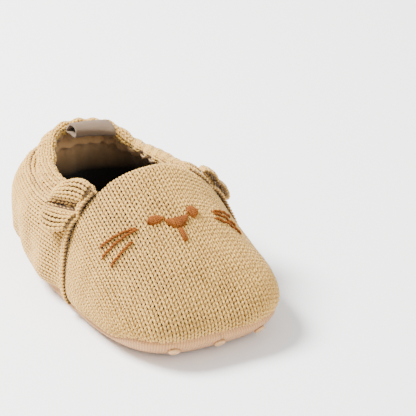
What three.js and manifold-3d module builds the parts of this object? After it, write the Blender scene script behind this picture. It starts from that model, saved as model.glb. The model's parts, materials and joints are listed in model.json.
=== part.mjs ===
// Knitted baby bootie with a soft sole, embroidered face, two ears and a heel pull tab.
// Millimetres, +Z up, toe toward -Y, wearer's right is -X. The origin is the bottom centre.
import * as THREE from 'three';
import { mergeVertices } from 'three/addons/utils/BufferGeometryUtils.js';
import Module from 'manifold-3d';

const wasm = await Module();
wasm.setup();

// Overall body
const LENGTH = 124;
const WIDTH = 74;
const SWEEP = -0.045;           // sideways shift of the body's axis, mm per mm toward the heel
const BULGE_HEIGHT = 12.7;      // height of the widest level of the upper
const SOLE_TUCK = 0.85;         // size of the sole's flat as a share of the widest level
const TOE_SQUARENESS = 3.2;     // exponent of the plan outline in front of its widest place
const HEEL_SQUARENESS = 3.2;    // the same behind it
const PLAN_CENTRE_Y = -1;       // where the body is widest
const PROFILE_ROUNDNESS = 1.95; // exponent of the upper's cross-section

// Crown: the height that the cross-section closes at, station by station
const THROAT_Y = -9.4;
const THROAT_CROWN = 57;
const VAMP_SLOPE = 0.47;        // fall of the crown toward the toe, mm per mm
const COLLAR_Y = 20;
const COLLAR_CROWN = 51.4;
const HEEL_CROWN = 103;
const HEEL_RISE_POWER = 2;      // how late the crown rises behind the collar

// Mouth
const TOPLINE_AT_THROAT = 50;
const TOPLINE_AT_SIDES = 43.5;
const TOPLINE_AT_HEEL = 48.3;
const TOPLINE_LOW_Y = [14, 32]; // the stretch where the topline is lowest
const TOPLINE_HIGH_Y = 50;      // where it has risen to the heel's height
const THROAT_BOW = 0.0066;      // how the throat edge curves back toward the sides, 1/mm

// Seams
const SIDE_SEAM_Y = -7.5;
const SOLE_SEAM_HEIGHT = 8.8;    // at the middle of the length
const SOLE_SEAM_RISE = 0.055;   // rise toward the toe, mm per mm

// Layers and clearances
const GAP = 0.3;
const KNIT = 2.2;
const ELASTIC = 0.8;
const LINING = 1;
const OUTSOLE = 1;
const DOT_HEIGHT = 0.8;
const FOAM = 3;
const COVER = 0.8;
const ELASTIC_WIDTH = 5;
const ELASTIC_DROP = 1.5;       // from the topline down to the elastic

// Ears
const EAR_WIDTH = 21;
const EAR_LENGTH = 17;
const EAR_BASE = 18;
const EAR_LAYER = 1.7;
const EAR_CUP = 3.4;            // how far the side edges of the ear curl forward
const EAR_ROOT_HEIGHT = 41;     // height of the middle of the ear's seam
const EAR_STANDOFF = 2.8;       // from the upper's surface to the ear's hinge line
const RIGHT_EAR_SWING = 66;     // degrees back from pointing straight out
const LEFT_EAR_SWING = 80;
const RIGHT_EAR_LEAN = 21;      // degrees that the ear leans down along its seam
const LEFT_EAR_LEAN = 31;

// Heel tab
const TAB_WIDTH = 15.5;
const TAB_LENGTH = 11;
const TAB_LOOP = 4.6;           // outer height of the loop
const TAB_RIBBON = 0.9;
const TAB_ROOT_INSET = 6.5;     // from the topline's outer edge to the tab's root

// Embroidery
const STITCH_HEIGHT = 0.8;
const EYE_DIAMETER = 4.2;
const EYE_SPACING = 16;
const EYE_Y = -28;
const NOSE_WIDTH = 9;
const NOSE_HEIGHT = 3.4;
const NOSE_Y = -29;
const STEM_END_Y = -37;
const STEM_WIDTH = 1.5;
const WHISKER_WIDTH = 1.1;
const WHISKER_INNER_X = 16;
const WHISKER_OUTER_X = 27.8;
const WHISKER_INNER_Y = [-29, -30.2, -31.4];
const WHISKER_OUTER_Y = [-26, -29.3, -33.1];

// Grip dots under the sole
const BIG_DOT = 9;
const SMALL_DOT = 4.2;
const DOT_RING = 9.5;           // from a big dot's centre to the small dots round it
const DOT_CLUSTERS = [-35, 1, 37]; // stations of the big dots; the middle one lies over the origin
const SMALL_DOTS_IN_RING = 6;
const TOE_DOTS = 3;             // on the upturned edge in front of the toe
const TOE_DOT_HEIGHT = 6;
const TOE_DOT_SPREAD = 17;      // degrees between them

const AROUND = 56;              // facets round the body
const BODY_SIDES_LOW = 4;
const BODY_SIDES_HIGH = 11;
const FAR = 200;                // larger than the whole part

const OUTSOLE_BOTTOM = DOT_HEIGHT + GAP;
const FOAM_BOTTOM = OUTSOLE_BOTTOM + OUTSOLE + GAP;
const COVER_BOTTOM = FOAM_BOTTOM + FOAM + GAP;
const VAMP_LINING_INSET = KNIT + GAP;
const QUARTER_LINING_INSET = KNIT + GAP + ELASTIC + GAP;
const INSOLE_INSET = QUARTER_LINING_INSET + LINING + GAP;

const colours = {
  knit: new THREE.MeshStandardMaterial({ color: 0xdcc08f, roughness: 0.95, metalness: 0 }),
  lining: new THREE.MeshStandardMaterial({ color: 0xa98a63, roughness: 0.95, metalness: 0 }),
  elastic: new THREE.MeshStandardMaterial({ color: 0xe8e2d6, roughness: 0.8, metalness: 0 }),
  ribbon: new THREE.MeshStandardMaterial({ color: 0xa59178, roughness: 0.75, metalness: 0 }),
  thread: new THREE.MeshStandardMaterial({ color: 0xb5622a, roughness: 0.7, metalness: 0 }),
  sole: new THREE.MeshStandardMaterial({ color: 0xdcb994, roughness: 0.9, metalness: 0 }),
  silicone: new THREE.MeshStandardMaterial({ color: 0xeedbc3, roughness: 0.45, metalness: 0 }),
  foam: new THREE.MeshStandardMaterial({ color: 0xf0ece0, roughness: 0.9, metalness: 0 }),
};

function smooth(t) {
  const s = THREE.MathUtils.clamp(t, 0, 1);
  return s * s * (3 - 2 * s);
}

// Height that the cross-section at station y would close at.
function crown(y) {
  if (y < THROAT_Y) {
    return THROAT_CROWN + VAMP_SLOPE * (y - THROAT_Y);
  }
  if (y < COLLAR_Y) {
    const share = smooth((y - THROAT_Y) / (COLLAR_Y - THROAT_Y));
    return THREE.MathUtils.lerp(THROAT_CROWN, COLLAR_CROWN, share);
  }
  const back = (y - COLLAR_Y) / (LENGTH / 2 - COLLAR_Y);
  return THREE.MathUtils.lerp(COLLAR_CROWN, HEEL_CROWN, Math.pow(back, HEEL_RISE_POWER));
}

// 1 on the widest plan outline of the body, less inside it.
function planShare(x, y, inset = 0) {
  const front = y < PLAN_CENTRE_Y;
  const power = front ? TOE_SQUARENESS : HEEL_SQUARENESS;
  const reach = front ? LENGTH / 2 + PLAN_CENTRE_Y : LENGTH / 2 - PLAN_CENTRE_Y;
  const across = Math.abs(x - SWEEP * y) / (WIDTH / 2 - inset);
  const along = Math.abs(y - PLAN_CENTRE_Y) / (reach - inset);
  return Math.pow(across ** power + along ** power, 1 / power);
}

// Share of the plan outline at a height below the bulge.
function tuckShare(z) {
  const drop = (BULGE_HEIGHT - OUTSOLE_BOTTOM) / Math.sqrt(1 - SOLE_TUCK ** 2);
  return Math.sqrt(1 - ((BULGE_HEIGHT - z) / drop) ** 2);
}

// Height of the upper's outer surface above a point of the plan.
function upperHeight(x, y) {
  const share = Math.min(planShare(x, y), 1) ** PROFILE_ROUNDNESS;
  return BULGE_HEIGHT + (crown(y) - BULGE_HEIGHT) * Math.pow(1 - share, 1 / PROFILE_ROUNDNESS);
}

function upperPoint(x, y) {
  return new THREE.Vector3(x, y, upperHeight(x, y));
}

function upperNormal(x, y) {
  const step = 0.05;
  const dx = (upperHeight(x + step, y) - upperHeight(x - step, y)) / (2 * step);
  const dy = (upperHeight(x, y + step) - upperHeight(x, y - step)) / (2 * step);
  return new THREE.Vector3(-dx, -dy, 1).normalize();
}

// Half width of the upper's outer surface at a station and a height above the bulge.
function halfWidthAt(y, z) {
  const rise = (z - BULGE_HEIGHT) / (crown(y) - BULGE_HEIGHT);
  const share = Math.pow(1 - rise ** PROFILE_ROUNDNESS, 1 / PROFILE_ROUNDNESS);
  const front = y < PLAN_CENTRE_Y;
  const power = front ? TOE_SQUARENESS : HEEL_SQUARENESS;
  const reach = front ? LENGTH / 2 + PLAN_CENTRE_Y : LENGTH / 2 - PLAN_CENTRE_Y;
  const along = (Math.abs(y - PLAN_CENTRE_Y) / reach) ** power;
  return (WIDTH / 2) * Math.pow(Math.max(share ** power - along, 0), 1 / power);
}

function toSolid(geometry) {
  const bare = geometry.clone();
  bare.deleteAttribute('normal');
  bare.deleteAttribute('uv');
  const merged = mergeVertices(bare, 1e-5);
  return new wasm.Manifold(new wasm.Mesh({
    numProp: 3,
    vertProperties: new Float32Array(merged.attributes.position.array),
    triVerts: new Uint32Array(merged.index.array),
  }));
}

function toGeometry(solid) {
  const mesh = solid.getMesh();
  const geometry = new THREE.BufferGeometry();
  geometry.setAttribute('position', new THREE.BufferAttribute(mesh.vertProperties, 3));
  geometry.setIndex(new THREE.BufferAttribute(mesh.triVerts, 1));
  geometry.computeVertexNormals();
  return geometry;
}

// A closed solid from rings of points, lowest ring first, with a pole point at each end.
function ringsSolid(lowPole, rings, highPole) {
  const points = [lowPole, ...rings.flat(), highPole];
  const count = rings[0].length;
  const last = points.length - 1;
  const faces = [];
  for (let i = 0; i < count; i += 1) {
    const next = (i + 1) % count;
    faces.push(0, 1 + next, 1 + i);
    for (let row = 0; row < rings.length - 1; row += 1) {
      const low = 1 + row * count;
      const high = low + count;
      faces.push(low + i, low + next, high + next);
      faces.push(low + i, high + next, high + i);
    }
    faces.push(last, last - count + i, last - count + next);
  }
  const geometry = new THREE.BufferGeometry();
  geometry.setFromPoints(points);
  geometry.setIndex(faces);
  return toSolid(geometry);
}

// The whole body as one filled solid, its surface set in by a distance.
function bodySolid(inset, floor) {
  const rings = [];
  const ringAt = (share, heightOf) => {
    const ring = [];
    for (let i = 0; i < AROUND; i += 1) {
      const angle = (i / AROUND) * 2 * Math.PI;
      const dx = Math.sin(angle);
      const dy = -Math.cos(angle);
      const axisX = SWEEP * (PLAN_CENTRE_Y + dy);
      const reach = share / planShare(dx + axisX, PLAN_CENTRE_Y + dy, inset);
      const y = PLAN_CENTRE_Y + dy * reach;
      ring.push(new THREE.Vector3(dx * reach + SWEEP * y, y, heightOf(y)));
    }
    return ring;
  };
  for (let row = 0; row < BODY_SIDES_LOW; row += 1) {
    const z = THREE.MathUtils.lerp(floor, BULGE_HEIGHT, row / BODY_SIDES_LOW);
    rings.push(ringAt(tuckShare(z), () => z));
  }
  for (let row = 0; row < BODY_SIDES_HIGH; row += 1) {
    const turn = (row / BODY_SIDES_HIGH) * (Math.PI / 2);
    const rise = Math.pow(Math.sin(turn), 2 / PROFILE_ROUNDNESS);
    const share = Math.pow(Math.cos(turn), 2 / PROFILE_ROUNDNESS);
    rings.push(ringAt(share, (y) => BULGE_HEIGHT + (crown(y) - inset - BULGE_HEIGHT) * rise));
  }
  const top = crown(PLAN_CENTRE_Y) - inset;
  return ringsSolid(
    new THREE.Vector3(SWEEP * PLAN_CENTRE_Y, PLAN_CENTRE_Y, floor),
    rings,
    new THREE.Vector3(SWEEP * PLAN_CENTRE_Y, PLAN_CENTRE_Y, top),
  );
}

function boxSolid(low, high) {
  const size = new THREE.Vector3().subVectors(high, low);
  const box = new THREE.BoxGeometry(size.x, size.y, size.z);
  box.translate((low.x + high.x) / 2, (low.y + high.y) / 2, (low.z + high.z) / 2);
  return toSolid(box);
}

// Everything in front of, or behind, the side seams.
function inFrontOf(y) {
  return boxSolid(new THREE.Vector3(-FAR, -FAR, -FAR), new THREE.Vector3(FAR, y, FAR));
}

function behind(y) {
  return boxSolid(new THREE.Vector3(-FAR, y, -FAR), new THREE.Vector3(FAR, FAR, FAR));
}

function between(low, high) {
  return boxSolid(new THREE.Vector3(-FAR, -FAR, low), new THREE.Vector3(FAR, FAR, high));
}

// Everything above the sloping sole seam, raised by a clearance.
function aboveSoleSeam(clearance) {
  const box = new THREE.BoxGeometry(2 * FAR, 2 * FAR, FAR);
  box.translate(0, 0, FAR / 2);
  box.rotateX(-Math.atan(SOLE_SEAM_RISE));
  box.translate(0, 0, SOLE_SEAM_HEIGHT + clearance);
  return toSolid(box);
}

// Height of the topline at a station.
function topline(y) {
  const [lowFront, lowBack] = TOPLINE_LOW_Y;
  if (y < lowFront) {
    const share = smooth((y - THROAT_Y) / (lowFront - THROAT_Y));
    return THREE.MathUtils.lerp(TOPLINE_AT_THROAT, TOPLINE_AT_SIDES, share);
  }
  const share = smooth((y - lowBack) / (TOPLINE_HIGH_Y - lowBack));
  return THREE.MathUtils.lerp(TOPLINE_AT_SIDES, TOPLINE_AT_HEEL, share);
}

// Everything above the topline, or above a line a little below it.
function aboveTopline(drop) {
  const steps = 20;
  const side = new THREE.Shape();
  side.moveTo(-FAR, FAR);
  side.lineTo(-FAR, TOPLINE_AT_THROAT - drop);
  for (let i = 0; i <= steps; i += 1) {
    const y = THREE.MathUtils.lerp(THROAT_Y, TOPLINE_HIGH_Y, i / steps);
    side.lineTo(y, topline(y) - drop);
  }
  side.lineTo(FAR, TOPLINE_AT_HEEL - drop);
  side.lineTo(FAR, FAR);
  const prism = new THREE.ExtrudeGeometry(side, { depth: 2 * FAR, bevelEnabled: false });
  prism.translate(0, 0, -FAR);
  prism.rotateZ(Math.PI / 2);
  prism.rotateY(Math.PI / 2);
  return toSolid(prism);
}

// The space over the mouth: behind the bowed throat edge and above the topline.
function mouthCut() {
  const outline = new THREE.Shape();
  const steps = 16;
  outline.moveTo(-WIDTH, FAR);
  for (let i = 0; i <= steps; i += 1) {
    const x = THREE.MathUtils.lerp(-WIDTH / 2, WIDTH / 2, i / steps);
    outline.lineTo(x, THROAT_Y + THROAT_BOW * x * x);
  }
  outline.lineTo(WIDTH, FAR);
  const prism = new THREE.ExtrudeGeometry(outline, { depth: FAR, bevelEnabled: false });
  return toSolid(prism).intersect(aboveTopline(0));
}

function addMesh(parent, name, geometry, material) {
  const mesh = new THREE.Mesh(geometry, material);
  mesh.name = name;
  parent.add(mesh);
  return mesh;
}

// Upper: knitted vamp and quarter, their linings, and the elastic in the collar.
function addUpper(parent) {
  const mouth = mouthCut();
  const overSeam = aboveSoleSeam(GAP);
  const vampSide = inFrontOf(SIDE_SEAM_Y - GAP / 2);
  const quarterSide = behind(SIDE_SEAM_Y + GAP / 2);

  const knit = bodySolid(0, OUTSOLE_BOTTOM)
    .subtract(bodySolid(KNIT, FOAM_BOTTOM))
    .intersect(overSeam)
    .subtract(mouth);
  addMesh(parent, 'vamp_knit', toGeometry(knit.intersect(vampSide)), colours.knit);
  addMesh(parent, 'quarter_knit', toGeometry(knit.intersect(quarterSide)), colours.knit);

  const liningShell = (inset) => bodySolid(inset, FOAM_BOTTOM)
    .subtract(bodySolid(inset + LINING, FOAM_BOTTOM - FOAM))
    .intersect(between(FOAM_BOTTOM, FAR))
    .subtract(mouth);
  const vampLining = liningShell(VAMP_LINING_INSET).intersect(vampSide);
  const quarterLining = liningShell(QUARTER_LINING_INSET).intersect(quarterSide);
  addMesh(parent, 'vamp_lining', toGeometry(vampLining), colours.lining);
  addMesh(parent, 'quarter_lining', toGeometry(quarterLining), colours.lining);

  const elastic = bodySolid(KNIT + GAP, FOAM_BOTTOM)
    .subtract(bodySolid(KNIT + GAP + ELASTIC, FOAM_BOTTOM))
    .intersect(aboveTopline(ELASTIC_DROP + ELASTIC_WIDTH))
    .subtract(aboveTopline(ELASTIC_DROP))
    .intersect(quarterSide);
  addMesh(parent, 'topline_elastic', toGeometry(elastic), colours.elastic);
}

// Sole: a shallow fabric tray that wraps up to the sole seam, with foam and a cover inside.
function addSole(parent) {
  const tray = bodySolid(0, OUTSOLE_BOTTOM)
    .subtract(bodySolid(OUTSOLE, OUTSOLE_BOTTOM + OUTSOLE))
    .subtract(aboveSoleSeam(0));
  addMesh(parent, 'outsole_fabric', toGeometry(tray), colours.sole);

  const foam = bodySolid(INSOLE_INSET, FOAM_BOTTOM)
    .intersect(between(0, FOAM_BOTTOM + FOAM));
  addMesh(parent, 'insole_foam', toGeometry(foam), colours.foam);

  const cover = bodySolid(INSOLE_INSET, FOAM_BOTTOM)
    .intersect(between(COVER_BOTTOM, COVER_BOTTOM + COVER));
  addMesh(parent, 'insole_cover', toGeometry(cover), colours.lining);
}

// A point of the body's outer surface below the bulge, by angle from the toe and height.
function tuckPoint(angle, z) {
  const dx = Math.sin(angle);
  const dy = -Math.cos(angle);
  const axisX = SWEEP * (PLAN_CENTRE_Y + dy);
  const reach = tuckShare(z) / planShare(dx + axisX, PLAN_CENTRE_Y + dy);
  const y = PLAN_CENTRE_Y + dy * reach;
  return new THREE.Vector3(dx * reach + SWEEP * y, y, z);
}

function tuckNormal(angle, z) {
  const round = tuckPoint(angle + 0.01, z).sub(tuckPoint(angle - 0.01, z));
  const up = tuckPoint(angle, z + 0.05).sub(tuckPoint(angle, z - 0.05));
  return round.cross(up).normalize();
}

function addDot(parent, name, diameter, centre, normal) {
  const disc = new THREE.CylinderGeometry(diameter / 2, diameter / 2, DOT_HEIGHT, 16);
  const mesh = addMesh(parent, name, disc, colours.silicone);
  mesh.quaternion.setFromUnitVectors(new THREE.Vector3(0, 1, 0), normal);
  mesh.position.copy(centre).addScaledVector(normal, -DOT_HEIGHT / 2);
}

// Each cluster is one big dot with a ring of small ones round it. The toe has a row of its own.
function addGripDots(parent) {
  const down = new THREE.Vector3(0, 0, -1);
  DOT_CLUSTERS.forEach((centreY, cluster) => {
    const centre = new THREE.Vector3(SWEEP * centreY, centreY, 0);
    addDot(parent, `grip_dot_${cluster + 1}_big`, BIG_DOT, centre, down);
    for (let i = 0; i < SMALL_DOTS_IN_RING; i += 1) {
      const angle = ((i + 0.5) / SMALL_DOTS_IN_RING) * 2 * Math.PI;
      const aside = new THREE.Vector3(Math.cos(angle), Math.sin(angle), 0);
      const place = centre.clone().addScaledVector(aside, DOT_RING);
      addDot(parent, `grip_dot_${cluster + 1}_small_${i + 1}`, SMALL_DOT, place, down);
    }
  });
  for (let i = 0; i < TOE_DOTS; i += 1) {
    const angle = THREE.MathUtils.degToRad(TOE_DOT_SPREAD * (i - (TOE_DOTS - 1) / 2));
    const normal = tuckNormal(angle, TOE_DOT_HEIGHT);
    const place = tuckPoint(angle, TOE_DOT_HEIGHT).addScaledVector(normal, GAP + DOT_HEIGHT);
    addDot(parent, `grip_dot_toe_${i + 1}`, SMALL_DOT, place, normal);
  }
}

// One layer of an ear: an oval cut straight at its base, curled forward at its sides.
// Its long axis leans by a share of its length along the base.
function earLayer(low, high, lean) {
  const across = 12;
  const along = 10;
  const halfLength = (EAR_LENGTH / 2) / (0.5 + 0.5 * Math.sqrt(1 - (EAR_BASE / EAR_WIDTH) ** 2));
  const centre = EAR_LENGTH - halfLength;
  const surface = (offset) => {
    const rows = [];
    for (let j = 0; j <= along; j += 1) {
      const v = (j / along) * EAR_LENGTH * 0.995;
      const half = (EAR_WIDTH / 2) * Math.sqrt(1 - ((v - centre) / halfLength) ** 2);
      for (let i = 0; i <= across; i += 1) {
        const u = THREE.MathUtils.lerp(-half, half, i / across);
        const curl = EAR_CUP * (u / (EAR_WIDTH / 2)) ** 2;
        rows.push(new THREE.Vector3(u + lean * v, v, offset + curl));
      }
    }
    return rows;
  };
  const points = [...surface(low), ...surface(high)];
  const wide = across + 1;
  const top = wide * (along + 1);
  const faces = [];
  for (let j = 0; j < along; j += 1) {
    for (let i = 0; i < across; i += 1) {
      const a = j * wide + i;
      faces.push(a, a + wide, a + 1, a + 1, a + wide, a + wide + 1);
      const b = top + a;
      faces.push(b, b + 1, b + wide, b + 1, b + wide + 1, b + wide);
    }
  }
  const wall = (p, q) => faces.push(p, q, top + q, p, top + q, top + p);
  for (let i = 0; i < across; i += 1) {
    wall(i, i + 1);
    wall(along * wide + i + 1, along * wide + i);
  }
  for (let j = 0; j < along; j += 1) {
    wall((j + 1) * wide, j * wide);
    wall(j * wide + across, (j + 1) * wide + across);
  }
  const geometry = new THREE.BufferGeometry();
  geometry.setFromPoints(points);
  geometry.setIndex(faces);
  geometry.computeVertexNormals();
  return geometry;
}

// An ear hinges on the side seam. Local x runs along the seam, y out along the ear.
function addEar(parent, side, label, swing, leanAngle) {
  const halfWidth = halfWidthAt(SIDE_SEAM_Y, EAR_ROOT_HEIGHT);
  const axisX = SWEEP * SIDE_SEAM_Y;
  const outward = upperNormal(axisX + halfWidth, SIDE_SEAM_Y);
  const down = new THREE.Vector3(outward.z, 0, -outward.x).normalize();
  const turn = THREE.MathUtils.degToRad(swing);
  const reach = new THREE.Vector3(Math.cos(turn), Math.sin(turn), 0);
  reach.addScaledVector(down, -reach.dot(down)).normalize();
  const face = new THREE.Vector3().crossVectors(down, reach);
  const root = new THREE.Vector3(halfWidth, SIDE_SEAM_Y, EAR_ROOT_HEIGHT);
  root.addScaledVector(outward, EAR_STANDOFF);

  const mirror = new THREE.Vector3(side, 1, 1);
  const axes = [down, reach, face].map((axis) => axis.clone().multiply(mirror));
  axes[0].multiplyScalar(side);
  const ear = new THREE.Group();
  ear.applyMatrix4(new THREE.Matrix4().makeBasis(...axes));
  ear.position.copy(root.multiply(mirror));
  ear.position.x += axisX;
  parent.add(ear);
  const lean = side * Math.tan(THREE.MathUtils.degToRad(leanAngle));
  addMesh(ear, `${label}_front`, earLayer(GAP / 2, GAP / 2 + EAR_LAYER, lean), colours.knit);
  addMesh(ear, `${label}_back`, earLayer(-GAP / 2 - EAR_LAYER, -GAP / 2, lean), colours.knit);
}

// The pull tab is a ribbon folded into a drop-shaped loop that lies forward off the collar.
function addHeelTab(parent) {
  const loop = (inset) => {
    const half = TAB_LOOP / 2 - inset;
    const tip = TAB_LENGTH - inset;
    return new THREE.SplineCurve([
      new THREE.Vector2(-inset * 1.8, 0),
      new THREE.Vector2(-TAB_LENGTH * 0.35, half * 0.8),
      new THREE.Vector2(-TAB_LENGTH * 0.75, half),
      new THREE.Vector2(-tip, 0),
      new THREE.Vector2(-TAB_LENGTH * 0.75, -half),
      new THREE.Vector2(-TAB_LENGTH * 0.35, -half * 0.8),
      new THREE.Vector2(-inset * 1.8, 0),
    ]).getPoints(28).slice(0, -1);
  };
  const section = new THREE.Shape(loop(0));
  section.holes.push(new THREE.Path(loop(TAB_RIBBON)));
  const ribbon = new THREE.ExtrudeGeometry(section, { depth: TAB_WIDTH, bevelEnabled: false });
  ribbon.translate(0, 0, -TAB_WIDTH / 2);
  ribbon.rotateY(Math.PI / 2);
  ribbon.rotateX(Math.PI / 2);
  const rootY = toplineBackY() - TAB_ROOT_INSET;
  const tab = addMesh(parent, 'heel_tab', ribbon, colours.ribbon);
  tab.position.set(SWEEP * rootY, rootY, TOPLINE_AT_HEEL + GAP + TAB_LOOP / 2);
}

// Where the collar's outer edge crosses the centre line at the heel.
function toplineBackY() {
  let low = (COLLAR_Y + LENGTH / 2) / 2;
  let high = LENGTH / 2;
  for (let i = 0; i < 40; i += 1) {
    const middle = (low + high) / 2;
    if (upperHeight(SWEEP * middle, middle) > TOPLINE_AT_HEEL) {
      low = middle;
    } else {
      high = middle;
    }
  }
  return low;
}

// A raised bar of satin stitch along points of the plan, lying on the vamp.
function stitchBar(planPoints, widths) {
  const low = [];
  const high = [];
  planPoints.forEach(([x, y], i) => {
    const [fromX, fromY] = planPoints[Math.max(i - 1, 0)];
    const [toX, toY] = planPoints[Math.min(i + 1, planPoints.length - 1)];
    const along = upperPoint(toX, toY).sub(upperPoint(fromX, fromY)).normalize();
    const normal = upperNormal(x, y);
    const aside = new THREE.Vector3().crossVectors(normal, along).normalize();
    for (const sign of [-1, 1]) {
      const edge = upperPoint(x, y).addScaledVector(aside, (sign * widths[i]) / 2);
      low.push(edge.clone().addScaledVector(normal, GAP));
      high.push(edge.clone().addScaledVector(normal, GAP + STITCH_HEIGHT));
    }
  });
  const points = [...low, ...high];
  const top = low.length;
  const faces = [];
  const quad = (a, b, c, d) => faces.push(a, b, c, a, c, d);
  for (let i = 0; i < planPoints.length - 1; i += 1) {
    const p = 2 * i;
    quad(p, p + 1, p + 3, p + 2);
    quad(top + p, top + p + 2, top + p + 3, top + p + 1);
    quad(p, p + 2, top + p + 2, top + p);
    quad(p + 1, top + p + 1, top + p + 3, p + 3);
  }
  quad(0, top, top + 1, 1);
  const end = top - 2;
  quad(end, end + 1, top + end + 1, top + end);
  const geometry = new THREE.BufferGeometry();
  geometry.setFromPoints(points);
  geometry.setIndex(faces);
  geometry.computeVertexNormals();
  return geometry;
}

function line(from, to, steps) {
  const points = [];
  for (let i = 0; i <= steps; i += 1) {
    const t = i / steps;
    points.push([THREE.MathUtils.lerp(from[0], to[0], t), THREE.MathUtils.lerp(from[1], to[1], t)]);
  }
  return points;
}

// Embroidered face: round eyes, a nose with a stem, and three whiskers on each cheek.
function addFace(parent) {
  for (const [side, label] of [[-1, 'right'], [1, 'left']]) {
    const x = (side * EYE_SPACING) / 2;
    const eye = new THREE.CylinderGeometry(EYE_DIAMETER / 2, EYE_DIAMETER / 2, STITCH_HEIGHT, 14);
    const normal = upperNormal(x, EYE_Y);
    const mesh = addMesh(parent, `${label}_eye`, eye, colours.thread);
    mesh.quaternion.setFromUnitVectors(new THREE.Vector3(0, 1, 0), normal);
    mesh.position.copy(upperPoint(x, EYE_Y));
    mesh.position.addScaledVector(normal, GAP + STITCH_HEIGHT / 2);
    WHISKER_INNER_Y.forEach((innerY, i) => {
      const inner = [side * WHISKER_INNER_X, innerY];
      const outer = [side * WHISKER_OUTER_X, WHISKER_OUTER_Y[i]];
      const bar = stitchBar(line(inner, outer, 6), Array(7).fill(WHISKER_WIDTH));
      addMesh(parent, `${label}_whisker_${i + 1}`, bar, colours.thread);
    });
  }
  const noseEnd = NOSE_Y - NOSE_HEIGHT;
  const nose = stitchBar(
    [[0, NOSE_Y], [0, NOSE_Y - NOSE_HEIGHT / 2], [0, noseEnd]],
    [NOSE_WIDTH, NOSE_WIDTH * 0.8, NOSE_WIDTH * 0.35],
  );
  addMesh(parent, 'nose', nose, colours.thread);
  const stem = stitchBar(line([0, noseEnd - GAP], [0, STEM_END_Y], 3), Array(4).fill(STEM_WIDTH));
  addMesh(parent, 'nose_stem', stem, colours.thread);
}

const bootie = new THREE.Group();
addUpper(bootie);
addSole(bootie);
addGripDots(bootie);
addEar(bootie, -1, 'right_ear', RIGHT_EAR_SWING, RIGHT_EAR_LEAN);
addEar(bootie, 1, 'left_ear', LEFT_EAR_SWING, LEFT_EAR_LEAN);
addHeelTab(bootie);
addFace(bootie);

export default bootie;
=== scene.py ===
import json
import math

import bpy
import numpy as np
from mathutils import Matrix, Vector


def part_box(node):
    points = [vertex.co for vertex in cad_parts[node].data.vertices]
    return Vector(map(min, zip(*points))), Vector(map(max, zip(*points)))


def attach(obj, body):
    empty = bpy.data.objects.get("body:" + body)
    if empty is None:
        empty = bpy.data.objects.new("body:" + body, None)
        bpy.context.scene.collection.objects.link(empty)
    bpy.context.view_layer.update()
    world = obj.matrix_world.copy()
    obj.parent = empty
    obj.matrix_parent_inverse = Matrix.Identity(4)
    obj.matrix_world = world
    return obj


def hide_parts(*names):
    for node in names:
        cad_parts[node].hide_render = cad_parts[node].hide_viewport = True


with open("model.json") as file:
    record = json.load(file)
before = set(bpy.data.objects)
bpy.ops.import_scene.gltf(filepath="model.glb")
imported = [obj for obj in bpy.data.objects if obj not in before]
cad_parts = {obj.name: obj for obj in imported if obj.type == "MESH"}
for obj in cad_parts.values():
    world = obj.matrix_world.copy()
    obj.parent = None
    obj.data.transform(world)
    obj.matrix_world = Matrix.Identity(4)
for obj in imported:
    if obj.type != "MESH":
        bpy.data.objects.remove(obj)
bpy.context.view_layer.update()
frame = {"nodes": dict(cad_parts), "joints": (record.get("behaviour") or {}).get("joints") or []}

# The photo's camera, in degrees and metres
CAMERA_AZIMUTH = -24.83
CAMERA_ELEVATION = 28.33
CAMERA_DISTANCE = 0.85
CAMERA_LENS_MM = 195.4
CAMERA_CENTRE = (0, 0, 0.025)
AIM_RIGHT = 0.025
AIM_UP = 0.0069


def make_camera():
    azimuth, elevation = math.radians(CAMERA_AZIMUTH), math.radians(CAMERA_ELEVATION)
    right = Vector((math.cos(azimuth), math.sin(azimuth), 0))
    back = Vector((math.sin(azimuth) * math.cos(elevation),
                   -math.cos(azimuth) * math.cos(elevation), math.sin(elevation)))
    up = back.cross(right)
    centre = Vector(CAMERA_CENTRE)
    data = bpy.data.cameras.new("camera")
    data.sensor_width = 36
    data.lens = CAMERA_LENS_MM
    made = bpy.data.objects.new("camera", data)
    made.location = centre + back * CAMERA_DISTANCE
    target = centre + right * AIM_RIGHT + up * AIM_UP
    made.rotation_euler = (target - made.location).to_track_quat("-Z", "Y").to_euler()
    bpy.context.scene.collection.objects.link(made)
    bpy.context.scene.camera = made


make_camera()

MM = 0.001
rng = np.random.default_rng(7)

# Form of the body, in millimetres, shared with the CAD part
PLAN_CENTRE_Y = -1.0
SWEEP = -0.045
SQUARENESS = 3.2
ROUNDNESS = 1.95
BULGE_HEIGHT = 12.7
FLAT_HEIGHT = 1.1
SOLE_TUCK = 0.85
LEAST_TUCK = 0.05
THROAT_Y = -9.4
THROAT_CROWN = 57.0
VAMP_SLOPE = 0.47
COLLAR_Y = 20.0
COLLAR_CROWN = 51.4
HEEL_CROWN = 103.0
TOPLINE = [(-9.4, 50.0), (14.0, 43.5), (32.0, 43.5), (50.0, 48.3)]

# Seam between knit and sole, and how far the soft upper has slumped
SOLE_SEAM_HEIGHT = 8.3
SOLE_SEAM_RISE = 0.02
SOLE_SIDE_DROP = 4.3
SOLE_SIDE_Y = -52
SOLE_SIDE_REACH = 16
SEAM_OUTLINE = 0.98
SEAM_OVERLAP = 0.2
SEAM_DIP = 0.9
SEAM_DIP_REACH = 1.7
THROAT_LEAN = 2.2
SHOULDER_DENT = 4.4
HEEL_LEAN = 2.6

# Knit gauge in millimetres. A loop leans by a share of a wale and reaches by one of a course
WALE = 2.75
COURSE = 1.8
LOOP_LEAN = 0.2
LOOP_REACH = 0.95
LOOP_UNEVENNESS = 0.07
YARN_RADIUS = 0.52
THICKNESS_RANGE = (0.72, 1.12)
LOOP_DEPTH = 0.56
POINTS_PER_STITCH = 10
YARN_LEVEL = -1.05
GROUND_LEVELS = (-2.25, -1.75)

WAVE_COUNT = 7
WAVE_SPREAD = (0.7, 1.5)
WAVE_PEAK = 3.2


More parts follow.
